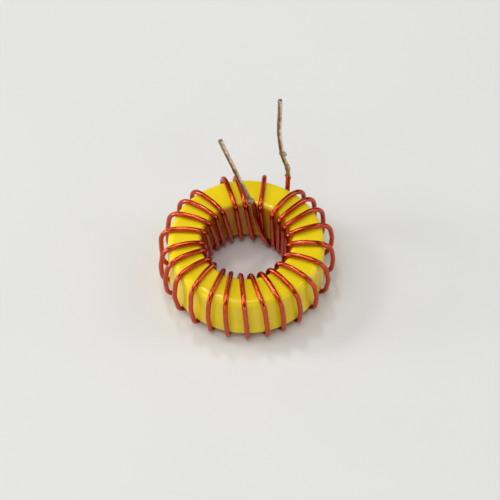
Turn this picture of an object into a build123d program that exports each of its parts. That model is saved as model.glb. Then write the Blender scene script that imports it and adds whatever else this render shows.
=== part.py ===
from build123d import *
import math
import os

os.makedirs("parts", exist_ok=True)

# A toroidal inductor lying flat: a coated ring core, one layer of enamelled
# round wire wound through it, and the two bare tinned wire ends standing up.
# Z is the axis of the core, z = 0 is the surface that the winding rests on,
# +Y is the side of the two leads.  All lengths are in millimetres.

# ---------------------------------------------------------------- core
core_outer_radius = 12.1
core_inner_radius = 6.95
core_height = 8.4
core_edge_radius = 1.1        # outer edges
core_bore_edge_radius = 0.7   # edges of the bore

# ---------------------------------------------------------------- wire
wire_radius = 0.38            # over the enamel
bare_radius = 0.35            # tinned ends
under_gap = 0.05              # between the core's underside and the wire
core_base = 2 * wire_radius + under_gap      # the core stands on its winding
under_height = -(wire_radius + under_gap)    # wire centre, from the core's underside
rise_over_top = 0.45          # wire centre over the core's top at the bore's edge
arch_radius = 8.9             # where a turn is highest on the core's top
arch_rise = 0.12
foot_bend = 1.15
inner_bend = 1.15
arch_bend = 5.0
side_bend = 5.0

# One row a turn, in winding order, with angles in degrees about the core's
# axis: foot of the run up the bore (angle, radius), top of that run (angle,
# radius), outer shoulder (angle), foot on the outside (angle), how far the wire
# stands off the outer wall (top, middle, foot), bends (shoulder, foot), height
# of the shoulder over the core's top, side step of the arch.
turns = [
    (65.8, 6.52, 70.5, 6.50, 77.0, 80.0, 1.08, 1.15, 1.10, 2.2, 2.3, 0.50, 0.9),
    (80.5, 6.42, 91.5, 6.48, 97.8, 98.2, 0.55, 0.80, 0.85, 1.9, 1.9, 0.47, 0.3),
    (96.8, 6.42, 104.9, 6.48, 106.3, 107.6, 0.88, 1.05, 1.05, 2.1, 2.1, 0.49, 0.3),
    (110.0, 6.40, 125.0, 6.38, 130.4, 132.0, 0.70, 0.90, 0.90, 2.1, 2.1, 0.48, 0.3),
    (121.5, 6.40, 138.0, 6.36, 142.4, 145.0, 0.75, 1.00, 1.00, 2.3, 2.2, 0.48, -0.4),
    (132.0, 6.38, 152.4, 6.38, 156.0, 158.5, 0.80, 1.15, 1.05, 2.4, 2.1, 0.48, -0.4),
    (147.5, 6.38, 168.0, 6.42, 172.4, 173.0, 1.20, 1.15, 0.90, 2.7, 2.0, 0.51, -0.7),
    (164.0, 6.38, 186.4, 6.50, 188.6, 186.6, 0.70, 1.20, 0.95, 2.5, 2.2, 0.53, -0.6),
    (179.0, 6.38, 198.0, 6.50, 201.6, 199.5, 0.70, 1.22, 0.70, 2.6, 2.2, 0.52, -0.6),
    (195.0, 6.38, 213.8, 6.52, 213.9, 215.4, 0.70, 1.30, 0.45, 2.5, 2.0, 0.51, -1.0),
    (208.5, 6.38, 224.0, 6.50, 229.2, 231.2, 0.75, 1.15, 0.45, 2.2, 2.0, 0.49, -0.3),
    (224.0, 6.40, 239.4, 6.50, 243.4, 244.3, 0.75, 1.10, 0.40, 2.2, 1.9, 0.48, 0.3),
    (237.5, 6.40, 250.1, 6.50, 255.5, 257.2, 0.78, 1.00, 0.40, 1.95, 1.8, 0.49, 0.4),
    (250.5, 6.40, 262.9, 6.51, 268.8, 271.3, 0.72, 0.85, 0.55, 1.8, 1.8, 0.50, 0.7),
    (264.0, 6.40, 275.9, 6.53, 282.0, 285.8, 0.85, 1.00, 0.60, 2.0, 1.9, 0.46, 1.0),
    (277.5, 6.40, 289.2, 6.54, 293.7, 297.8, 1.00, 1.05, 0.35, 2.2, 1.8, 0.50, 1.6),
    (291.0, 6.40, 302.2, 6.54, 306.8, 311.0, 0.90, 1.15, 0.30, 2.3, 1.8, 0.52, 1.6),
    (306.5, 6.40, 316.9, 6.53, 321.8, 327.0, 0.90, 1.15, 0.50, 2.5, 2.0, 0.55, 1.6),
    (326.0, 6.38, 334.0, 6.52, 338.6, 342.2, 0.85, 1.30, 0.65, 2.7, 2.2, 0.55, 1.4),
    (347.0, 6.36, 351.2, 6.48, 355.6, 359.6, 0.85, 1.35, 1.05, 2.8, 2.5, 0.55, 1.5),
    (368.5, 6.32, 366.8, 6.34, 373.6, 375.4, 1.00, 1.70, 1.25, 3.1, 2.6, 0.58, 1.6),
    (384.5, 6.32, 381.6, 6.24, 389.4, 388.0, 1.35, 1.60, 1.35, 3.2, 2.7, 0.54, 1.0),
    (397.0, 6.34, 395.6, 6.17, 400.2, 398.0, 1.65, 1.65, 1.55, 3.3, 2.8, 0.52, 1.0),
    (407.2, 6.38, 410.1, 6.15, 408.8, 408.6, 1.55, 1.50, 1.45, 3.2, 2.7, 0.54, 1.4),
]

# The two ends: x, y, z from the core's underside, bend at the point.
outer_lead_foot_angle = 60.2
outer_lead_foot_radius = 12.78
outer_lead = [                       # free tip first, then down behind the core
    (5.16, 13.40, 26.10, 0.0),
    (5.01, 12.62, 19.20, 5.0),
    (5.27, 12.30, 16.50, 4.0),
    (5.52, 12.02, 14.70, 2.0),
    (5.76, 11.86, 13.50, 1.6),
    (6.30, 11.60, 11.95, 1.6),
    (6.52, 11.42, 10.75, 2.0),
    (6.43, 11.05, 7.10, 8.0),
]
inner_lead_foot_angle = 416.8
inner_lead_foot_radius = 6.40
inner_lead = [                       # up the bore, over the top, free tip last
    (2.66, 4.98, 2.55, 2.5),
    (2.21, 5.16, 3.98, 3.0),
    (1.62, 5.55, 6.10, 3.0),
    (1.28, 6.05, 8.40, 2.0),
    (1.22, 6.12, 9.62, 0.55),
    (0.66, 6.22, 10.06, 0.55),
    (0.20, 6.42, 11.35, 2.0),
    (-1.31, 6.80, 15.70, 14.0),
    (-3.95, 7.35, 23.90, 0.0),
]
outer_enamel_end = 10.05      # height where the enamel stops on the outer lead
stretch_turns = (6, 12, 18)   # the coil's solids meet after these turns


def polar(angle, radius, z):
    a = math.radians(angle)
    return (radius * math.cos(a), radius * math.sin(a), z)


def turn_points(row):
    (foot_a, foot_r, in_a, in_r, out_a, low_a, s_top, s_mid, s_low,
     bend_top, bend_low, z_top, step) = row
    outer = core_outer_radius
    along = (arch_radius - in_r) / (outer + s_top - in_r)
    return [
        (polar(foot_a, foot_r, under_height), foot_bend),
        (polar(in_a, in_r, core_height + rise_over_top), inner_bend),
        (polar(in_a + (out_a - in_a) * along + step, arch_radius,
               core_height + max(z_top, rise_over_top) + arch_rise), arch_bend),
        (polar(out_a, outer + s_top, core_height + z_top), bend_top),
        (polar((out_a + low_a) / 2, outer + s_mid, core_height / 2), side_bend),
        (polar(low_a, outer + s_low, under_height), bend_low),
    ]


def lift(p):
    return Vector(p[0], p[1], p[2] + core_base)


route = [((x, y, z), r) for x, y, z, r in outer_lead]
route.append((polar(outer_lead_foot_angle, outer_lead_foot_radius, under_height), 1.9))
for row in turns:
    route += turn_points(row)
route.append((polar(inner_lead_foot_angle, inner_lead_foot_radius, under_height), foot_bend))
route += [((x, y, z), r) for x, y, z, r in inner_lead]
points = [lift(p) for p, r in route]
bends = [r for p, r in route]

# Where the enamel begins and ends: on the straight run of the outer lead
# under its last kink, and on the short run over the inner lead's bend.
last = len(points) - 1
b_low, b_high = 7, 6
share = ((outer_enamel_end + core_base) - points[b_low].Z) / (points[b_high].Z - points[b_low].Z)
outer_end = points[b_low] + (points[b_high] - points[b_low]) * share
a_low, a_high = last - 4, last - 3
run_a = points[a_high] - points[a_low]


def bend_reach(i):
    u = (points[i] - points[i - 1]).normalized()
    v = (points[i + 1] - points[i]).normalized()
    return bends[i] * math.tan(math.acos(max(-1.0, min(1.0, u.dot(v)))) / 2)


a_stop = run_a.length - bend_reach(a_high) - 0.02
inner_end = points[a_low] + run_a.normalized() * a_stop        # enamel ends here

enamel_points = [outer_end] + points[b_low:a_low + 1] + [inner_end]
enamel_bends = bends[b_low:a_low + 1]
outer_points = points[:b_high + 1] + [outer_end]
outer_bends = bends[1:b_high + 1]
inner_points = [inner_end] + points[a_high:]
inner_bends = bends[a_high:last]

# The enamelled wire is one wire, drawn as four stretches that meet face to face
# in the middle of straight runs under the core, six turns to a stretch.
feet = [8 + 6 * n for n in stretch_turns]       # outer foot of each of those turns
ends = [outer_end] + [(points[i] + points[i + 1]) * 0.5 for i in feet] + [inner_end]
firsts = [b_low] + [i + 1 for i in feet]
lasts = feet + [a_low]


def path_length(pts, rad):
    total = 0.0
    for i in range(len(pts) - 1):
        total += (pts[i + 1] - pts[i]).length
    for i in range(1, len(pts) - 1):
        u = (pts[i] - pts[i - 1]).normalized()
        v = (pts[i + 1] - pts[i]).normalized()
        a = math.acos(max(-1.0, min(1.0, u.dot(v))))
        total += rad[i - 1] * (a - 2 * math.tan(a / 2))
    return total


# ---------------------------------------------------------------- the core
with BuildPart() as core:
    with BuildSketch(Plane.XZ) as ring_section:
        with Locations(((core_outer_radius + core_inner_radius) / 2,
                        core_base + core_height / 2)):
            Rectangle(core_outer_radius - core_inner_radius, core_height)
        corners = ring_section.vertices().sort_by(Axis.X)
        fillet(corners[2:], core_edge_radius)
        fillet(ring_section.vertices().sort_by(Axis.X)[:2], core_bore_edge_radius)
    revolve(axis=Axis.Z)

# ---------------------------------------------------------------- the wire
stretches = []
for start, first, final, stop in zip(ends, firsts, lasts, ends[1:]):
    with BuildPart() as stretch:
        with BuildLine() as path:
            FilletPolyline(start, *points[first:final + 1], stop,
                           radius=bends[first:final + 1])
        with BuildSketch(Plane(origin=path.line @ 0, z_dir=path.line % 0)):
            Circle(wire_radius)
        sweep(path=path.line)
    stretches.append(stretch.part.solid())
winding = Compound(stretches)

with BuildPart() as outer_lead_wire:
    with BuildLine() as outer_path:
        FilletPolyline(*outer_points, radius=outer_bends)
    with BuildSketch(Plane(origin=outer_path.line @ 0, z_dir=outer_path.line % 0)):
        Circle(bare_radius)
    sweep(path=outer_path.line)

with BuildPart() as inner_lead_wire:
    with BuildLine() as inner_path:
        FilletPolyline(*inner_points, radius=inner_bends)
    with BuildSketch(Plane(origin=inner_path.line @ 0, z_dir=inner_path.line % 0)):
        Circle(bare_radius)
    sweep(path=inner_path.line)

# ---------------------------------------------------------------- solder beads
# Small lumps of solder grown round the bare wire: each is an egg turned about
# the line of the wire, a little off its middle, with the wire taken out.


def bead_plane(centre, along):
    return Plane(origin=centre, z_dir=along)


inner_bead_long, inner_bead_wide = 0.62, 0.56
inner_bead_at = lift((0.70, 6.20, 10.08))
inner_bead_along = (points[last - 2] - points[a_low]).normalized()
with BuildPart() as inner_lead_solder:
    with BuildSketch(Plane(origin=inner_bead_at, x_dir=inner_bead_along,
                           z_dir=inner_bead_along.cross(Vector(0, 1, 0)))):
        Ellipse(inner_bead_long, inner_bead_wide)
        with Locations((0, -inner_bead_wide)):
            Rectangle(2.4 * inner_bead_long, 2 * inner_bead_wide, mode=Mode.SUBTRACT)
    revolve(axis=Axis(inner_bead_at, inner_bead_along))
    with BuildLine() as bead_wire_a:
        FilletPolyline(*([points[a_low - 1]] + points[a_low:a_high + 1] + [points[a_high + 1]]),
                       radius=bends[a_low:a_high + 1])
    with BuildSketch(Plane(origin=bead_wire_a.line @ 0, z_dir=bead_wire_a.line % 0)):
        Circle(wire_radius)
    sweep(path=bead_wire_a.line, mode=Mode.SUBTRACT)

outer_bead_long, outer_bead_wide = 0.66, 0.56
outer_bead_at = lift((5.60, 12.00, 14.66))
outer_bead_along = (points[2] - points[4]).normalized()
with BuildPart() as outer_lead_solder_bead:
    with BuildSketch(Plane(origin=outer_bead_at, x_dir=outer_bead_along,
                           z_dir=outer_bead_along.cross(Vector(0, 1, 0)))):
        Ellipse(outer_bead_long, outer_bead_wide)
        with Locations((0, -outer_bead_wide)):
            Rectangle(2.4 * outer_bead_long, 2 * outer_bead_wide, mode=Mode.SUBTRACT)
    revolve(axis=Axis(outer_bead_at, outer_bead_along))
    with BuildLine() as bead_wire_b:
        FilletPolyline(*points[1:6], radius=bends[2:5])
    with BuildSketch(Plane(origin=bead_wire_b.line @ 0, z_dir=bead_wire_b.line % 0)):
        Circle(bare_radius)
    sweep(path=bead_wire_b.line, mode=Mode.SUBTRACT)

collar_long, collar_wide = 0.85, 0.50
collar_at = lift((6.41, 11.53, 11.55))
collar_along = (points[5] - points[6]).normalized()
with BuildPart() as outer_lead_solder_collar:
    with BuildSketch(Plane(origin=collar_at, x_dir=collar_along,
                           z_dir=collar_along.cross(Vector(0, 1, 0)))):
        Ellipse(collar_long, collar_wide)
        with Locations((0, -collar_wide)):
            Rectangle(2.4 * collar_long, 2 * collar_wide, mode=Mode.SUBTRACT)
    revolve(axis=Axis(collar_at, collar_along))
    with BuildLine() as bead_wire_c:
        FilletPolyline(*points[3:8], radius=bends[4:7])
    with BuildSketch(Plane(origin=bead_wire_c.line @ 0, z_dir=bead_wire_c.line % 0)):
        Circle(bare_radius)
    sweep(path=bead_wire_c.line, mode=Mode.SUBTRACT)

# ---------------------------------------------------------------- export
core.part.label = "core"
winding.label = "winding"
outer_lead_wire.part.label = "outer_lead"
inner_lead_wire.part.label = "inner_lead"
inner_lead_solder.part.label = "inner_lead_solder"
outer_lead_solder_bead.part.label = "outer_lead_solder_bead"
outer_lead_solder_collar.part.label = "outer_lead_solder_collar"

export_step(core.part, "parts/core.step")
export_step(winding, "parts/winding.step")
export_step(outer_lead_wire.part, "parts/outer_lead.step")
export_step(inner_lead_wire.part, "parts/inner_lead.step")
export_step(inner_lead_solder.part, "parts/inner_lead_solder.step")
export_step(outer_lead_solder_bead.part, "parts/outer_lead_solder_bead.step")
export_step(outer_lead_solder_collar.part, "parts/outer_lead_solder_collar.step")

enamel_length = path_length(enamel_points, enamel_bends)
outer_length = path_length(outer_points, outer_bends)
inner_length = path_length(inner_points, inner_bends)
print("wire length %.2f" % (enamel_length + outer_length + inner_length))
for name, item, radius, length in (
        ("winding", winding, wire_radius, enamel_length),
        ("outer_lead", outer_lead_wire.part, bare_radius, outer_length),
        ("inner_lead", inner_lead_wire.part, bare_radius, inner_length)):
    print(name, "solids", len(item.solids()), "volume %.3f, section x length %.3f"
          % (item.volume, math.pi * radius ** 2 * length))
print("core volume %.2f" % core.part.volume)
for name, item in (("inner_lead_solder", inner_lead_solder),
                   ("outer_lead_solder_bead", outer_lead_solder_bead),
                   ("outer_lead_solder_collar", outer_lead_solder_collar)):
    print(name, "solids", len(item.part.solids()), "volume %.4f" % item.part.volume)
print("inner lead: straight tip run from", tuple(round(c, 3) for c in points[last - 1]),
      "to", tuple(round(c, 3) for c in points[last]), "bend reach %.3f" % bend_reach(last - 1))
print("outer lead: straight tip run from", tuple(round(c, 3) for c in points[1]),
      "to", tuple(round(c, 3) for c in points[0]), "bend reach %.3f" % bend_reach(1))
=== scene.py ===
import math

import bpy
import numpy as np
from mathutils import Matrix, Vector


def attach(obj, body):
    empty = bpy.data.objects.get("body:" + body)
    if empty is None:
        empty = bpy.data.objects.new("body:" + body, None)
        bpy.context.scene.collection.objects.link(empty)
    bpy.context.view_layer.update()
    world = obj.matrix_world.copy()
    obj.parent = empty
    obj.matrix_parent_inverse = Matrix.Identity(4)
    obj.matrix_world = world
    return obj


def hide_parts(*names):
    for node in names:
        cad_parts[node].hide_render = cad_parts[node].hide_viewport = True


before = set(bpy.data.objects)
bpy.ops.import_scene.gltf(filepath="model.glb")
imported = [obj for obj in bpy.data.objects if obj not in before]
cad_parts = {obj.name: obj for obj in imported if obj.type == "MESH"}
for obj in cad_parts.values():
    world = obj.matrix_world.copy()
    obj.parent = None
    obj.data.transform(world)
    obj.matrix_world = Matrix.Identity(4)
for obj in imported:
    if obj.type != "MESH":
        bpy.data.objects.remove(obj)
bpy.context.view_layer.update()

MM = 0.001
scene = bpy.context.scene
rng = np.random.default_rng(7)

# ------------------------------------------------------------------ sizes (mm)
CORE_RO, CORE_RI, CORE_H, CORE_EDGE, BORE_EDGE = 12.1, 6.95, 8.4, 1.1, 0.7
WIRE_R, BARE_R, UNDER_GAP = 0.38, 0.35, 0.05
CORE_BASE = 2 * WIRE_R + UNDER_GAP
UNDER_Z = -(WIRE_R + UNDER_GAP)
RISE, ARCH_R, ARCH_RISE = 0.45, 8.9, 0.12
FOOT_BEND, IN_BEND, ARCH_BEND, SIDE_BEND = 1.15, 1.15, 5.0, 5.0

# One row a turn, the same rows as in the CAD source: foot of the bore run
# (angle, radius), its top (angle, radius), shoulder angle, outer foot angle,
# stand-off (top, middle, foot), bends (shoulder, foot), shoulder height, step.
TURNS = [
    (65.8, 6.52, 70.5, 6.50, 77.0, 80.0, 1.08, 1.15, 1.10, 2.2, 2.3, 0.50, 0.9),
    (80.5, 6.42, 91.5, 6.48, 97.8, 98.2, 0.55, 0.80, 0.85, 1.9, 1.9, 0.47, 0.3),
    (96.8, 6.42, 104.9, 6.48, 106.3, 107.6, 0.88, 1.05, 1.05, 2.1, 2.1, 0.49, 0.3),
    (110.0, 6.40, 125.0, 6.38, 130.4, 132.0, 0.70, 0.90, 0.90, 2.1, 2.1, 0.48, 0.3),
    (121.5, 6.40, 138.0, 6.36, 142.4, 145.0, 0.75, 1.00, 1.00, 2.3, 2.2, 0.48, -0.4),
    (132.0, 6.38, 152.4, 6.38, 156.0, 158.5, 0.80, 1.15, 1.05, 2.4, 2.1, 0.48, -0.4),
    (147.5, 6.38, 168.0, 6.42, 172.4, 173.0, 1.20, 1.15, 0.90, 2.7, 2.0, 0.51, -0.7),
    (164.0, 6.38, 186.4, 6.50, 188.6, 186.6, 0.70, 1.20, 0.95, 2.5, 2.2, 0.53, -0.6),
    (179.0, 6.38, 198.0, 6.50, 201.6, 199.5, 0.70, 1.22, 0.70, 2.6, 2.2, 0.52, -0.6),
    (195.0, 6.38, 213.8, 6.52, 213.9, 215.4, 0.70, 1.30, 0.45, 2.5, 2.0, 0.51, -1.0),
    (208.5, 6.38, 224.0, 6.50, 229.2, 231.2, 0.75, 1.15, 0.45, 2.2, 2.0, 0.49, -0.3),
    (224.0, 6.40, 239.4, 6.50, 243.4, 244.3, 0.75, 1.10, 0.40, 2.2, 1.9, 0.48, 0.3),
    (237.5, 6.40, 250.1, 6.50, 255.5, 257.2, 0.78, 1.00, 0.40, 1.95, 1.8, 0.49, 0.4),
    (250.5, 6.40, 262.9, 6.51, 268.8, 271.3, 0.72, 0.85, 0.55, 1.8, 1.8, 0.50, 0.7),
    (264.0, 6.40, 275.9, 6.53, 282.0, 285.8, 0.85, 1.00, 0.60, 2.0, 1.9, 0.46, 1.0),
    (277.5, 6.40, 289.2, 6.54, 293.7, 297.8, 1.00, 1.05, 0.35, 2.2, 1.8, 0.50, 1.6),
    (291.0, 6.40, 302.2, 6.54, 306.8, 311.0, 0.90, 1.15, 0.30, 2.3, 1.8, 0.52, 1.6),
    (306.5, 6.40, 316.9, 6.53, 321.8, 327.0, 0.90, 1.15, 0.50, 2.5, 2.0, 0.55, 1.6),
    (326.0, 6.38, 334.0, 6.52, 338.6, 342.2, 0.85, 1.30, 0.65, 2.7, 2.2, 0.55, 1.4),
    (347.0, 6.36, 351.2, 6.48, 355.6, 359.6, 0.85, 1.35, 1.05, 2.8, 2.5, 0.55, 1.5),
    (368.5, 6.32, 366.8, 6.34, 373.6, 375.4, 1.00, 1.70, 1.25, 3.1, 2.6, 0.58, 1.6),
    (384.5, 6.32, 381.6, 6.24, 389.4, 388.0, 1.35, 1.60, 1.35, 3.2, 2.7, 0.54, 1.0),
    (397.0, 6.34, 395.6, 6.17, 400.2, 398.0, 1.65, 1.65, 1.55, 3.3, 2.8, 0.52, 1.0),
    (407.2, 6.38, 410.1, 6.15, 408.8, 408.6, 1.55, 1.50, 1.45, 3.2, 2.7, 0.54, 1.4),
]
OUTER_LEAD = [
    (5.16, 13.40, 26.10, 0.0), (5.01, 12.62, 19.20, 5.0), (5.27, 12.30, 16.50, 4.0),
    (5.52, 12.02, 14.70, 2.0), (5.76, 11.86, 13.50, 1.6), (6.30, 11.60, 11.95, 1.6),
    (6.52, 11.42, 10.75, 2.0), (6.43, 11.05, 7.10, 8.0),
]
INNER_LEAD = [
    (2.66, 4.98, 2.55, 2.5), (2.21, 5.16, 3.98, 3.0), (1.62, 5.55, 6.10, 3.0),
    (1.28, 6.05, 8.40, 2.0), (1.22, 6.12, 9.62, 0.55), (0.66, 6.22, 10.06, 0.55),
    (0.20, 6.42, 11.35, 2.0), (-1.31, 6.80, 15.70, 14.0), (-3.95, 7.35, 23.90, 0.0),
]
OUTER_ENAMEL_END_Z = 10.05


# ------------------------------------------------------------------ helpers
def polar(a, r, z):
    a = math.radians(a)
    return np.array([r * math.cos(a), r * math.sin(a), z])


def turn_points(row):
    fa, fr, ia, ir, oa, la, st, sm, sl, bt, bl, zt, step = row
    along = (ARCH_R - ir) / (CORE_RO + st - ir)
    return [
        (polar(fa, fr, UNDER_Z), FOOT_BEND),
        (polar(ia, ir, CORE_H + RISE), IN_BEND),
        (polar(ia + (oa - ia) * along + step, ARCH_R,
               CORE_H + max(zt, RISE) + ARCH_RISE), ARCH_BEND),
        (polar(oa, CORE_RO + st, CORE_H + zt), bt),
        (polar((oa + la) / 2, CORE_RO + sm, CORE_H / 2), SIDE_BEND),
        (polar(la, CORE_RO + sl, UNDER_Z), bl),
    ]


def rounded(points, bends, step=0.05):
    """The polyline with a tangent arc at each corner, sampled about every step."""
    out = [points[0]]

    def line_to(p):
        q = out[-1]
        n = max(1, int(np.linalg.norm(p - q) / step))
        for k in range(1, n + 1):
            out.append(q + (p - q) * k / n)

    for i in range(1, len(points) - 1):
        a = points[i - 1] - points[i]
        b = points[i + 1] - points[i]
        a /= np.linalg.norm(a)
        b /= np.linalg.norm(b)
        inner = math.acos(float(np.clip(a @ b, -1, 1)))
        t = bends[i] / math.tan(inner / 2)
        h = (a + b) / np.linalg.norm(a + b)
        c = points[i] + h * (bends[i] / math.sin(inner / 2))
        s, e = points[i] + a * t, points[i] + b * t
        line_to(s)
        turn = math.pi - inner
        n = max(2, int(bends[i] * turn / step))
        for k in range(1, n + 1):
            f = k / n
            out.append(c + (math.sin((1 - f) * turn) * (s - c)
                            + math.sin(f * turn) * (e - c)) / math.sin(turn))
    line_to(points[-1])
    return np.array(out)


def lengths(c):
    return np.r_[0, np.cumsum(np.linalg.norm(np.diff(c, axis=0), axis=1))]


def at(c, s, q):
    return np.stack([np.interp(q, s, c[:, k]) for k in range(3)], axis=1)


def smooth_line(c, sigma, step=0.05):
    """Even spacing, then a light blur along the length so bends run into straights."""
    s = lengths(c)
    n = int(s[-1] / step)
    q = np.linspace(0, s[-1], n)
    c = at(c, s, q)
    w = int(3 * sigma / step)
    k = np.exp(-0.5 * (np.arange(-w, w + 1) * step / sigma) ** 2)
    k /= k.sum()
    head = 2 * c[0] - c[w:0:-1]
    tail = 2 * c[-1] - c[-2:-w - 2:-1]
    p = np.vstack([head, c, tail])
    return np.stack([np.convolve(p[:, j], k, mode="valid") for j in range(3)], axis=1)


def slow_noise(s, wave, seed):
    """Smooth random numbers of about unit size along s, changing over wave."""
    r = np.random.default_rng(seed)
    n = int((s[-1] - s[0]) / wave) + 4
    v = r.normal(size=n)
    x = (s - s[0]) / wave
    i = np.floor(x).astype(int)
    f = x - i
    f = f * f * (3 - 2 * f)
    return v[i] * (1 - f) + v[i + 1] * f


def uneven_rings(c, small, large):
    """Ring places along c: close in bends, wide on straights."""
    s = lengths(c)
    d = np.gradient(c, s, axis=0)
    curv = np.linalg.norm(np.gradient(d, s, axis=0), axis=1)
    curv = np.convolve(curv, np.ones(9) / 9, mode="same")
    gap = np.clip(0.17 / (curv + 0.25), small, large)
    dens = np.r_[0, np.cumsum(0.5 * (1 / gap[1:] + 1 / gap[:-1]) * np.diff(s))]
    n = int(dens[-1]) + 1
    return np.interp(np.linspace(0, dens[-1], n), dens, s)


def tube(name, c, s_at, radius, sides=20, cap_start=None, cap_end=None, lump=None):
    """A closed round tube along c. radius is a number or one value a ring.
    lump(s, angle) gives a factor on the radius. Caps: 'flat' or 'round'."""
    s = lengths(c)
    p = at(c, s, s_at)
    t = np.gradient(p, s_at, axis=0)
    t /= np.linalg.norm(t, axis=1)[:, None]
    u = np.cross(t[0], [0.3, 0.2, 0.9])
    u /= np.linalg.norm(u)
    us = [u]
    for i in range(1, len(t)):
        u = us[-1] - t[i] * (us[-1] @ t[i])
        us.append(u / np.linalg.norm(u))
    us = np.array(us)
    vs = np.cross(t, us)
    rad = np.broadcast_to(np.asarray(radius, float), (len(s_at),)).copy()
    ang = np.arange(sides) * 2 * math.pi / sides
    rr = rad[:, None] * np.ones((1, sides))
    if lump is not None:
        rr = rr * lump(s_at[:, None], ang[None, :])
    ring = (p[:, None, :] + us[:, None, :] * (rr * np.cos(ang))[..., None]
            + vs[:, None, :] * (rr * np.sin(ang))[..., None])
    verts = ring.reshape(-1, 3)
    n = len(s_at)
    faces, uvs = [], []
    for i in range(n - 1):
        for j in range(sides):
            k = (j + 1) % sides
            faces.append((i * sides + j, (i + 1) * sides + j, (i + 1) * sides + k, i * sides + k))
            uvs.append(((s_at[i], j), (s_at[i + 1], j), (s_at[i + 1], j + 1), (s_at[i], j + 1)))
    extra = []

    def cap(end, kind):
        base = 0 if end == 0 else (n - 1) * sides
        sign = -1 if end == 0 else 1
        i = 0 if end == 0 else n - 1
        prev = [base + j for j in range(sides)]
        if kind == "round":
            steps = [(0.97, 0.22), (0.86, 0.5), (0.68, 0.73), (0.42, 0.9)]
            depth = 0.30
        else:
            steps = [(1.01, 0.20), (0.97, 0.45), (0.86, 0.50), (0.70, 0.70), (0.40, 0.92)]
            depth = 0.18
        for f, h in steps:
            new = []
            for j in range(sides):
                q = (p[i] + us[i] * (rr[i, j] * f * math.cos(ang[j]))
                     + vs[i] * (rr[i, j] * f * math.sin(ang[j])) + t[i] * sign * depth * h * rad[i])
                new.append(len(verts) + len(extra))
                extra.append(q)
            for j in range(sides):
                k = (j + 1) % sides
                quad = (prev[j], prev[k], new[k], new[j])
                faces.append(quad if end else quad[::-1])
                uvs.append(((s_at[i], j),) * 4)
            prev = new
        mid = len(verts) + len(extra)
        extra.append(p[i] + t[i] * sign * depth * rad[i])
        for j in range(sides):
            k = (j + 1) % sides
            tri = (prev[j], prev[k], mid)
            faces.append(tri if end else tri[::-1])
            uvs.append(((s_at[i], j),) * 3)

    if cap_start:
        cap(0, cap_start)
    if cap_end:
        cap(1, cap_end)
    allv = np.vstack([verts] + ([np.array(extra)] if extra else []))
    mesh = bpy.data.meshes.new(name)
    mesh.from_pydata([tuple(v * MM) for v in allv], [], faces)
    layer = mesh.uv_layers.new(name="along")
    k = 0
    for poly, uv in zip(mesh.polygons, uvs):
        for li, (a, b) in zip(poly.loop_indices, uv):
            layer.data[li].uv = (a * 0.1, b / sides)
    mesh.validate()
    mesh.shade_smooth()
    obj = bpy.data.objects.new(name, mesh)
    scene.collection.objects.link(obj)
    return obj


# ------------------------------------------------------------------ materials
def new_material(name):
    m = bpy.data.materials.new(name)
    m.use_nodes = True
    nt = m.node_tree
    nt.nodes.clear()
    out = nt.nodes.new("ShaderNodeOutputMaterial")
    b = nt.nodes.new("ShaderNodeBsdfPrincipled")
    nt.links.new(b.outputs[0], out.inputs[0])
    return m, nt, b


def node(nt, kind, **props):
    n = nt.nodes.new(kind)
    for k, v in props.items():
        setattr(n, k, v)
    return n


def noise(nt, coord, scale, detail=4.0, rough=0.55, distortion=0.0):
    n = node(nt, "ShaderNodeTexNoise")
    n.inputs["Scale"].default_value = scale
    n.inputs["Detail"].default_value = detail
    n.inputs["Roughness"].default_value = rough
    n.inputs["Distortion"].default_value = distortion
    nt.links.new(coord, n.inputs["Vector"])
    return n


def ramp(nt, value, stops, mode="LINEAR"):
    r = node(nt, "ShaderNodeValToRGB")
    r.color_ramp.interpolation = mode
    e = r.color_ramp.elements
    while len(e) < len(stops):
        e.new(0.5)
    for el, (pos, col) in zip(e, stops):
        el.position = pos
        el.color = col if len(col) == 4 else (*col, 1.0)
    nt.links.new(value, r.inputs[0])
    return r


def remap(nt, value, a, b, c, d):
    r = node(nt, "ShaderNodeMapRange")
    nt.links.new(value, r.inputs[0])
    for i, v in zip((1, 2, 3, 4), (a, b, c, d)):
        r.inputs[i].default_value = v
    return r


def mix_color(nt, fac, a, b, blend="MIX"):
    m = node(nt, "ShaderNodeMix", data_type="RGBA", blend_type=blend)
    if hasattr(fac, "is_linked"):
        nt.links.new(fac, m.inputs[0])
    else:
        m.inputs[0].default_value = fac
    for sock, v in ((m.inputs[6], a), (m.inputs[7], b)):
        if hasattr(v, "is_linked"):
            nt.links.new(v, sock)
        else:
            sock.default_value = v if len(v) == 4 else (*v, 1.0)
    return m


def bump(nt, height, strength, distance, normal=None):
    b = node(nt, "ShaderNodeBump")
    b.inputs["Strength"].default_value = strength
    b.inputs["Distance"].default_value = distance
    nt.links.new(height, b.inputs["Height"])
    if normal is not None:
        nt.links.new(normal, b.inputs["Normal"])
    return b


def srgb(r, g, b):
    f = lambda c: c / 12.92 if c <= 0.04045 else ((c + 0.055) / 1.055) ** 2.4
    return tuple(f(v / 255) for v in (r, g, b))


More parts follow.
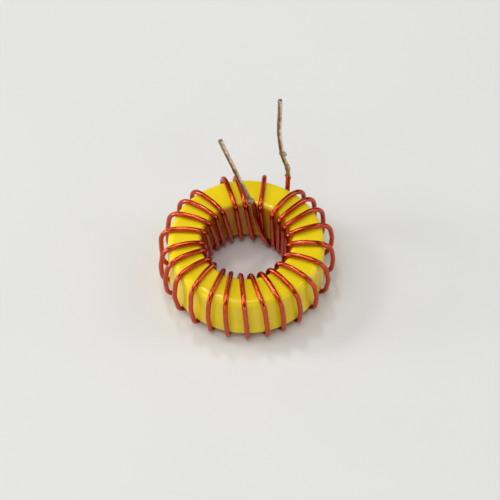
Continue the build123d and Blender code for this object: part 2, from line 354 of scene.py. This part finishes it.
def coating_material():
    """Glossy epoxy powder coat over pressed powder: slight orange peel, soft
    mottling, fine dark specks and a few pinholes."""
    m, nt, b = new_material("core_epoxy_coating")
    obj = node(nt, "ShaderNodeTexCoord").outputs["Object"]
    broad = noise(nt, obj, 260.0, 3.0, 0.5)
    fine = noise(nt, obj, 1900.0, 3.0, 0.6)
    base = ramp(nt, broad.outputs["Fac"], [(0.30, (0.830, 0.625, 0.006)), (0.52, (0.860, 0.658, 0.009)),
                                           (0.75, (0.885, 0.682, 0.014))])
    speck = node(nt, "ShaderNodeTexVoronoi")
    speck.inputs["Scale"].default_value = 1500.0
    nt.links.new(obj, speck.inputs["Vector"])
    gate = noise(nt, obj, 420.0, 1.0, 0.5)
    dots = remap(nt, speck.outputs["Distance"], 0.05, 0.17, 1.0, 0.0)
    allow = remap(nt, gate.outputs["Fac"], 0.56, 0.68, 0.0, 1.0)
    dot = node(nt, "ShaderNodeMath", operation="MULTIPLY")
    nt.links.new(dots.outputs[0], dot.inputs[0])
    nt.links.new(allow.outputs[0], dot.inputs[1])
    dim = node(nt, "ShaderNodeMath", operation="MULTIPLY")
    nt.links.new(dot.outputs[0], dim.inputs[0])
    dim.inputs[1].default_value = 0.30
    col = mix_color(nt, dim.outputs[0], base.outputs[0], srgb(150, 118, 20))
    soft = remap(nt, fine.outputs["Fac"], 0.3, 0.7, 0.0, 0.10)
    col2 = mix_color(nt, soft.outputs[0], col.outputs[2], srgb(200, 176, 14))
    # in the bore the colour is darkened and reddened: painted shade of the bore wall, deepest near the top edge
    xyz = node(nt, "ShaderNodeSeparateXYZ")
    nt.links.new(obj, xyz.inputs[0])
    flat = node(nt, "ShaderNodeCombineXYZ")
    nt.links.new(xyz.outputs[0], flat.inputs[0])
    nt.links.new(xyz.outputs[1], flat.inputs[1])
    radius = node(nt, "ShaderNodeVectorMath", operation="LENGTH")
    nt.links.new(flat.outputs[0], radius.inputs[0])
    inside = remap(nt, radius.outputs["Value"], 0.00695, 0.00735, 1.0, 0.0)
    height = remap(nt, xyz.outputs[2], (CORE_BASE + 3.6) * MM, (CORE_BASE + CORE_H - 0.9) * MM, 0.0, 1.0)
    # painted shade: the bore tint is deeper towards the top of the bore
    brown = mix_color(nt, height.outputs[0], (1.0, 0.60, 0.9), (0.90, 0.45, 0.8))
    col3 = mix_color(nt, inside.outputs[0], col2.outputs[2], brown.outputs[2], blend="MULTIPLY")
    nt.links.new(col3.outputs[2], b.inputs["Base Color"])
    rough = remap(nt, fine.outputs["Fac"], 0.25, 0.75, 0.36, 0.50)
    nt.links.new(rough.outputs[0], b.inputs["Roughness"])
    b.inputs["IOR"].default_value = 1.45
    b.inputs["Specular IOR Level"].default_value = 0.06
    b.inputs["Coat Weight"].default_value = 0.45
    b.inputs["Coat Roughness"].default_value = 0.045
    b.inputs["Coat IOR"].default_value = 1.5
    peel = noise(nt, obj, 950.0, 2.0, 0.5)
    b1 = bump(nt, peel.outputs["Fac"], 0.30, 0.00004)
    b2 = bump(nt, fine.outputs["Fac"], 0.25, 0.00002, b1.outputs[0])
    b3 = bump(nt, dot.outputs[0], -0.5, 0.00003, b2.outputs[0])
    nt.links.new(b3.outputs[0], b.inputs["Normal"])
    nt.links.new(b1.outputs[0], b.inputs["Coat Normal"])
    return m


def enamel_material():
    """Copper seen through red-brown enamel: metal under a clear coat, with slow
    tint changes along the wire, drawing lines and small scuffs."""
    m, nt, b = new_material("wire_enamel")
    tc = node(nt, "ShaderNodeTexCoord")
    obj = tc.outputs["Object"]
    tint = noise(nt, obj, 170.0, 2.0, 0.5)
    fine = noise(nt, obj, 2600.0, 3.0, 0.6)
    base = ramp(nt, tint.outputs["Fac"], [(0.30, (0.49, 0.040, 0.004)), (0.52, (0.54, 0.050, 0.006)),
                                          (0.74, (0.60, 0.064, 0.010))])
    uv = node(nt, "ShaderNodeUVMap", uv_map="along")
    sep = node(nt, "ShaderNodeMapping")
    sep.inputs["Scale"].default_value = (1.6, 3.0, 1.0)
    nt.links.new(uv.outputs[0], sep.inputs["Vector"])
    lines = noise(nt, sep.outputs[0], 2.0, 2.0, 0.5)
    scuff_pick = noise(nt, obj, 760.0, 2.0, 0.6)
    scuff = remap(nt, scuff_pick.outputs["Fac"], 0.64, 0.76, 0.0, 0.35)
    col = mix_color(nt, scuff.outputs[0], base.outputs[0], (0.74, 0.20, 0.09))
    nt.links.new(col.outputs[2], b.inputs["Base Color"])
    b.inputs["Metallic"].default_value = 1.0
    b.inputs["Specular Tint"].default_value = (0.95, 0.42, 0.30, 1.0)
    rough = remap(nt, lines.outputs["Fac"], 0.3, 0.7, 0.24, 0.31)
    nt.links.new(rough.outputs[0], b.inputs["Roughness"])
    b.inputs["Coat Weight"].default_value = 0.72
    b.inputs["Coat Roughness"].default_value = 0.045
    b.inputs["Coat IOR"].default_value = 1.5
    b1 = bump(nt, scuff_pick.outputs["Fac"], 0.10, 0.00003)
    nt.links.new(b1.outputs[0], b.inputs["Normal"])
    return m


def tin_material(name, stain=None, dark=1.0):
    """Hand-tinned copper: dull grey-beige metal, uneven, with painted shade that turns the side facing left
    brown.
    stain is a range of height where the bare wire shows yellower."""
    m, nt, b = new_material(name)
    tc = node(nt, "ShaderNodeTexCoord")
    obj = tc.outputs["Object"]
    cloud = noise(nt, obj, 520.0, 3.0, 0.6, 0.4)
    fine = noise(nt, obj, 2400.0, 2.0, 0.6)
    tones = [(0.40, 0.30, 0.20), (0.62, 0.51, 0.38), (0.80, 0.70, 0.55), (0.90, 0.83, 0.70)]
    tones = [tuple(v * dark for v in c) for c in tones]
    base = ramp(nt, cloud.outputs["Fac"], list(zip((0.28, 0.43, 0.60, 0.80), tones)))
    colour = base.outputs[0]
    if stain:
        xyz = node(nt, "ShaderNodeSeparateXYZ")
        nt.links.new(obj, xyz.inputs[0])
        lo, hi = stain
        up = remap(nt, xyz.outputs[2], lo - 0.0003, lo + 0.0002, 0.0, 1.0)
        down = remap(nt, xyz.outputs[2], hi - 0.0002, hi + 0.0003, 1.0, 0.0)
        both = node(nt, "ShaderNodeMath", operation="MULTIPLY")
        nt.links.new(up.outputs[0], both.inputs[0])
        nt.links.new(down.outputs[0], both.inputs[1])
        spots = noise(nt, obj, 1500.0, 2.0, 0.6)
        yellow = ramp(nt, spots.outputs["Fac"], [(0.34, (0.13, 0.08, 0.03)), (0.44, (0.50, 0.40, 0.17)),
                                                 (0.70, (0.74, 0.64, 0.36))])
        colour = mix_color(nt, both.outputs[0], colour, yellow.outputs[0]).outputs[2]
    # painted shade: the side of the lead facing left is darkened towards brown
    facing_side = node(nt, "ShaderNodeSeparateXYZ")
    nt.links.new(tc.outputs["Normal"], facing_side.inputs[0])
    left_side_shade = remap(nt, facing_side.outputs[0], -0.70, 0.30, 1.0, 0.0)
    colour = mix_color(nt, left_side_shade.outputs[0], colour, (0.42, 0.34, 0.27), blend="MULTIPLY").outputs[2]
    nt.links.new(colour, b.inputs["Base Color"])
    b.inputs["Metallic"].default_value = 0.92
    rough = remap(nt, cloud.outputs["Fac"], 0.3, 0.75, 0.34, 0.22)
    nt.links.new(rough.outputs[0], b.inputs["Roughness"])
    b1 = bump(nt, cloud.outputs["Fac"], 0.35, 0.00005)
    b2 = bump(nt, fine.outputs["Fac"], 0.15, 0.00001, b1.outputs[0])
    nt.links.new(b2.outputs[0], b.inputs["Normal"])
    return m


def floor_material():
    m, nt, b = new_material("pale_tabletop")
    obj = node(nt, "ShaderNodeTexCoord").outputs["Object"]
    n = noise(nt, obj, 30.0, 3.0, 0.5)
    c = ramp(nt, n.outputs["Fac"], [(0.3, (0.722, 0.721, 0.712)), (0.7, (0.732, 0.731, 0.722))])
    nt.links.new(c.outputs[0], b.inputs["Base Color"])
    b.inputs["Roughness"].default_value = 0.75
    b.inputs["Specular IOR Level"].default_value = 0.2
    return m


coating, enamel = coating_material(), enamel_material()
tin_a = tin_material("tinned_wire_inner")
tin_b = tin_material("tinned_wire_outer", stain=(0.01080, 0.01500))
solder = tin_material("solder", dark=0.60)

# ------------------------------------------------------------------ the core
SEG = 320


def core_profile():
    """Radius and height round the section, from the middle of the top, clockwise."""
    pts = []
    e, b = CORE_EDGE, BORE_EDGE
    corners = [(CORE_RO - e, CORE_H - e, 90, 0, e), (CORE_RO - e, e, 0, -90, e),
               (CORE_RI + b, b, -90, -180, b), (CORE_RI + b, CORE_H - b, 180, 90, b)]
    for cx, cz, a0, a1, e in corners:
        for k in range(13):
            a = math.radians(a0 + (a1 - a0) * k / 12)
            pts.append((cx + e * math.cos(a), cz + e * math.sin(a), math.cos(a), math.sin(a)))
    full = []
    for i, p in enumerate(pts):
        q = pts[(i + 1) % len(pts)]
        full.append(p)
        d = math.hypot(q[0] - p[0], q[1] - p[1])
        n = max(1, int(round(d / 0.45)))
        for k in range(1, n):
            f = k / n
            full.append((p[0] + (q[0] - p[0]) * f, p[1] + (q[1] - p[1]) * f, p[2], p[3]))
    return full


def build_core():
    prof = core_profile()
    n = len(prof)
    r1 = np.random.default_rng(11)
    waves = [(r1.integers(2, 9), r1.uniform(0, 6.28), r1.uniform(0.3, 1.6), r1.uniform(0, 6.28))
             for _ in range(14)]
    verts = []
    for i in range(SEG):
        th = 2 * math.pi * i / SEG
        for j, (r, z, nr, nz) in enumerate(prof):
            d = 0.0
            for k, ph, kz, pz in waves:
                d += math.cos(k * th + ph) * math.cos(kz * (r * 0.6 + z) + pz)
            d = -0.012 + 0.0028 * d              # the coat's slow thickness changes, never outside
            d = min(d, 0.0)
            rr, zz = r + nr * d, z + nz * d
            verts.append((rr * math.cos(th) * MM, rr * math.sin(th) * MM, (zz + CORE_BASE) * MM))
    faces = []
    for i in range(SEG):
        a, b = i * n, ((i + 1) % SEG) * n
        for j in range(n):
            k = (j + 1) % n
            faces.append((a + j, a + k, b + k, b + j))
    mesh = bpy.data.meshes.new("core_coated")
    mesh.from_pydata(verts, [], faces)
    mesh.validate()
    mesh.shade_smooth()
    o = bpy.data.objects.new("core_coated", mesh)
    scene.collection.objects.link(o)
    return o


core_obj = build_core()
core_obj.data.materials.append(coating)
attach(core_obj, "root")
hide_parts("core")

# ------------------------------------------------------------------ the wire
route = [(np.array(p[:3]), p[3]) for p in OUTER_LEAD]
route.append((polar(60.2, 12.78, UNDER_Z), 1.9))
for row in TURNS:
    route += turn_points(row)
route.append((polar(416.8, 6.40, UNDER_Z), FOOT_BEND))
route += [(np.array(p[:3]), p[3]) for p in INNER_LEAD]
P = [p + np.array([0, 0, CORE_BASE]) for p, r in route]
B = [r for p, r in route]
raw = rounded(P, B)
line = smooth_line(raw, 0.28)
S = lengths(line)
total = S[-1]

# where the enamel starts and stops along the wire
z_end = OUTER_ENAMEL_END_Z + CORE_BASE
i_out = int(np.argmax(line[:, 2] < z_end))
s_out = S[i_out]
kink = P[-5]
i_in = int(np.argmin(np.linalg.norm(line - (0.45 * P[-5] + 0.55 * P[-4]), axis=1)))
s_in = S[i_in]

# a hand-wound wire isn't quite true: small waves, none of them larger than a
# few hundredths of a millimetre, and none on the runs that lie under the core
tang = np.gradient(line, S, axis=0)
tang /= np.linalg.norm(tang, axis=1)[:, None]
side = np.cross(tang, [0.0, 0.0, 1.0])
side /= np.maximum(np.linalg.norm(side, axis=1), 0.2)[:, None]
low = np.clip((line[:, 2] - 0.6) / 1.2, 0, 1)
wave = 0.020 * slow_noise(S, 3.2, 3) * low
fade = np.clip(np.minimum(S, total - S) / 3.0, 0, 1)
line = line + side * (wave * fade)[:, None]
S2 = lengths(line)
s_out = np.interp(s_out, S, S2)
s_in = np.interp(s_in, S, S2)
S = S2
total = S[-1]

rings = uneven_rings(line, 0.11, 0.34)
keep = rings[(rings > s_out) & (rings < s_in)]
s_enamel = np.r_[s_out, keep, s_in]


def enamel_radius(s):
    r = WIRE_R * (1 + 0.006 * slow_noise(np.r_[s, s[-1] + 1e-6], 1.7, 21)[:-1])
    r = np.minimum(r, WIRE_R)
    return r


def facing(s0, direction):
    """The angle round a tube that starts at s0 where its side faces a direction."""
    p = at(line, S, np.array([s0, s0 + 0.02]))
    d = p[1] - p[0]
    d /= np.linalg.norm(d)
    u = np.cross(d, [0.3, 0.2, 0.9])
    u /= np.linalg.norm(u)
    return math.atan2(np.cross(d, u) @ direction, u @ direction)


LEFT, RIGHT, FRONT = (-1.0, 0.0, 0.0), (1.0, 0.0, 0.0), (0.0, -1.0, 0.0)


def lobe(s, a, place, length, angle, reach, sharp=2):
    """A local swelling of a tube, at one place along it and on one side."""
    return reach * np.exp(-((s - place) / length) ** 2) * np.maximum(0, np.cos(a - angle)) ** sharp


def ragged_end(s, a):
    """The enamel's scraped end: two torn lips, one higher on the left."""
    left, right, front = (facing(s_out, d) for d in (LEFT, RIGHT, FRONT))
    return (1 + lobe(s, a, s_out + 0.10, 0.16, left, 0.42) + lobe(s, a, s_out + 0.62, 0.22, right, 0.30)
            + lobe(s, a, s_out + 0.28, 0.14, front, 0.10) - lobe(s, a, s_out + 1.1, 0.3, left, 0.06))


near_end = np.arange(s_out, s_out + 1.6, 0.07)
s_enamel = np.r_[near_end, s_enamel[s_enamel > s_out + 1.6]]
sides = 22
enamel_obj = tube("winding_enamelled_wire", line, s_enamel, enamel_radius(s_enamel), sides,
                  cap_start="flat", cap_end="round", lump=ragged_end)
enamel_obj.data.materials.append(enamel)
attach(enamel_obj, "root")
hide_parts("winding")


# ------------------------------------------------------------------ tinned ends
TIN_R = 0.372                   # the wire with its tin on


def tin_lump(seed, size, marks=()):
    r = np.random.default_rng(seed)
    waves = [(r.integers(1, 4), r.uniform(0.8, 5.0), r.uniform(0, 6.28), r.uniform(0.4, 1.0)) for _ in range(9)]

    def f(s, a):
        d = 0
        for k, q, ph, amp in waves:
            d = d + amp * np.cos(k * a + q * s + ph)
        out = np.minimum(1 + size * d / 3 - size * 0.4, 1.03)
        for m in marks:
            out = out + lobe(s, a, *m)
        return out

    return f


# marks on the outer lead: a spur at its cut end, the thinner scraped stretch
# under the knot with two nicks, and a rise before the enamel
tip_left = facing(0.06, LEFT)
s_knot = S[int(np.argmin(np.abs(line[:int(len(line) * 0.05), 2] - (14.66 + CORE_BASE))))]
outer_marks = [
    (0.38, 0.13, tip_left, 0.24, 3), (0.16, 0.12, tip_left + math.pi, -0.10, 2),
    (s_knot + 1.0, 0.30, tip_left, -0.12, 1), (s_knot + 1.5, 0.25, tip_left + math.pi, -0.12, 1),
    (s_knot + 2.1, 0.22, tip_left, -0.16, 1), (s_knot + 2.75, 0.16, tip_left + math.pi, 0.16, 2),
    (s_knot + 3.1, 0.14, tip_left + math.pi, -0.22, 2), (s_knot + 3.6, 0.22, tip_left + math.pi, 0.14, 2),
]
outer_lump = tin_lump(5, 0.05, outer_marks)


def thin_tip(s, a):
    """The outer lead's tin, narrower again at the cut end."""
    return outer_lump(s, a) - 0.06 * np.exp(-((s - 0.12) / 0.35) ** 2)


s_b = np.arange(0.12, s_out + 0.5, 0.07)
outer_tin = tube("outer_lead_tinned", line, s_b, TIN_R, 24, cap_start="flat",
                 lump=thin_tip)
s_a = np.arange(s_in - 0.4, total - 0.08, 0.09)
inner_tin = tube("inner_lead_tinned", line, s_a, TIN_R, 24, cap_end="flat",
                 lump=tin_lump(9, 0.035))
outer_tin.data.materials.append(tin_b)
inner_tin.data.materials.append(tin_a)
for o, cad_node in ((outer_tin, "outer_lead"), (inner_tin, "inner_lead")):
    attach(o, "root")
    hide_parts(cad_node)


# ------------------------------------------------------------------ solder beads
def blob(name, centre, along, half, wide, seed, rough, lobes=(), replaces=None):
    """A lump of solder: an egg along the wire, pushed out into lobes, uneven."""
    import bmesh
    bm = bmesh.new()
    bmesh.ops.create_icosphere(bm, subdivisions=5, radius=1.0)
    z = np.array(along, float)
    z /= np.linalg.norm(z)
    x = np.cross(z, [0, 1, 0])
    x /= np.linalg.norm(x)
    y = np.cross(z, x)
    r = np.random.default_rng(seed)
    dirs = r.normal(size=(16, 3))
    dirs /= np.linalg.norm(dirs, axis=1)[:, None]
    amps = r.uniform(-1, 1, 16)
    for v in bm.verts:
        d = np.array(v.co)
        d /= np.linalg.norm(d)
        f = 1.0
        for q, a in zip(dirs, amps):
            f += rough * a * max(0.0, float(d @ q)) ** 6
        local = np.array([d[0] * wide, d[1] * wide, d[2] * half]) * f
        w = x * local[0] + y * local[1] + z * local[2]
        for q, reach, sharp in lobes:
            q = np.array(q, float)
            q /= np.linalg.norm(q)
            w = w + q * reach * max(0.0, float((w / np.linalg.norm(w)) @ q)) ** sharp
        v.co = Vector((np.array(centre) + w) * MM)
    mesh = bpy.data.meshes.new(name)
    bm.to_mesh(mesh)
    bm.free()
    mesh.shade_smooth()
    o = bpy.data.objects.new(name, mesh)
    scene.collection.objects.link(o)
    o.data.materials.append(solder)
    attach(o, "root")
    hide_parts(replaces)
    return o


up = np.array([0.0, 0.0, CORE_BASE])
a_dir = P[-3] - P[-5]
blob("inner_lead_solder_lump", np.array([0.70, 6.20, 10.08]) + up, a_dir, 0.62, 0.56, 2, 0.10,
     replaces="inner_lead_solder")
b_dir = P[2] - P[4]
blob("outer_lead_solder_lump", np.array([5.58, 11.99, 14.70]) + up, b_dir, 0.56, 0.47, 4, 0.12,
     lobes=[((1, -0.35, -0.25), 0.30, 9), ((-1, -0.2, 0.5), 0.08, 6)],
     replaces="outer_lead_solder_bead")
c_dir = P[5] - P[6]
blob("outer_lead_solder_sleeve", np.array([6.41, 11.53, 11.55]) + up, c_dir, 0.72, 0.42, 6, 0.08,
     replaces="outer_lead_solder_collar")

# ------------------------------------------------------------------ stage
floor = bpy.data.meshes.new("tabletop")
R = 1.6
floor.from_pydata([(-R, -R, 0), (R, -R, 0), (R, R, 0), (-R, R, 0)], [], [(0, 1, 2, 3)])
floor_obj = bpy.data.objects.new("tabletop", floor)
scene.collection.objects.link(floor_obj)
floor.materials.append(floor_material())


def area(name, place, target, size, power, color=(1, 1, 1)):
    d = bpy.data.lights.new(name, "AREA")
    d.shape = "DISK"
    d.size = size
    d.energy = power
    d.color = color
    o = bpy.data.objects.new(name, d)
    scene.collection.objects.link(o)
    o.location = place
    o.rotation_euler = (Vector(target) - Vector(place)).to_track_quat("-Z", "Y").to_euler()
    return o


def at_angle(azimuth, elevation, distance):
    """azimuth 0 is behind the camera's side, 180 is the far side."""
    a, e = math.radians(azimuth), math.radians(elevation)
    return (distance * math.sin(a) * math.cos(e), -distance * math.cos(a) * math.cos(e),
            distance * math.sin(e))


# name, azimuth, elevation, width in degrees, light on a facing plane
LIGHTS = [
    ("key_back", 197, 67, 8, 0.46),
    ("key_left", 257, 43, 11, 0.60),
    ("soft_over", 0, 84, 28, 0.66),
    ("soft_over_left", 270, 66, 28, 0.40),
    ("soft_front", 335, 62, 28, 0.42),
    ("soft_right", 95, 45, 28, 0.50),
    ("soft_back_right", 135, 34, 24, 0.16),
    ("soft_back", 212, 36, 20, 0.10),
    ("low_left", 270, 12, 24, 1.14),
    ("low_back_left", 225, 12, 24, 0.26),
    ("low_back", 180, 12, 24, 0.10),
    ("low_right", 90, 12, 24, 0.34),
    ("low_front_left", 315, 12, 24, 0.46),
    ("low_front", 0, 12, 24, 0.32),
    ("low_front_right", 45, 12, 24, 0.40),
]
for name, az, el, wide, strength in LIGHTS:
    area(name, at_angle(az, el, 1.0), (0, 0, 0.004), 2 * math.tan(math.radians(wide / 2)),
         strength * math.pi)

world = bpy.data.worlds.new("studio")
scene.world = world
world.use_nodes = True
wn = world.node_tree
bg = wn.nodes["Background"]
bg.inputs[0].default_value = (1.0, 1.0, 0.995, 1)
bg.inputs[1].default_value = 0.05

scene.view_settings.view_transform = "Standard"
scene.view_settings.look = "None"
scene.view_settings.exposure = 0.0
scene.view_settings.gamma = 1.0

# ------------------------------------------------------------------ camera
ELEV = math.radians(54.2)
DIST = 0.484
cam_data = bpy.data.cameras.new("camera")
cam_data.sensor_width = 36.0
cam_data.lens = 6.463 * 484.0 / 500.0 * 36.0
cam_data.clip_start, cam_data.clip_end = 0.01, 20.0
cam = bpy.data.objects.new("camera", cam_data)
scene.collection.objects.link(cam)
aim = Vector((0, 0, (CORE_BASE + CORE_H / 2) * MM))
back = Vector((0, -math.cos(ELEV), math.sin(ELEV)))
cam.location = aim + back * DIST
cam.rotation_mode = "QUATERNION"
cam.rotation_quaternion = (-back).to_track_quat("-Z", "Y")
cam_data.shift_x = (250.0 - 246.25) / 500.0
cam_data.shift_y = (256.25 - 250.0) / 500.0
scene.camera = cam
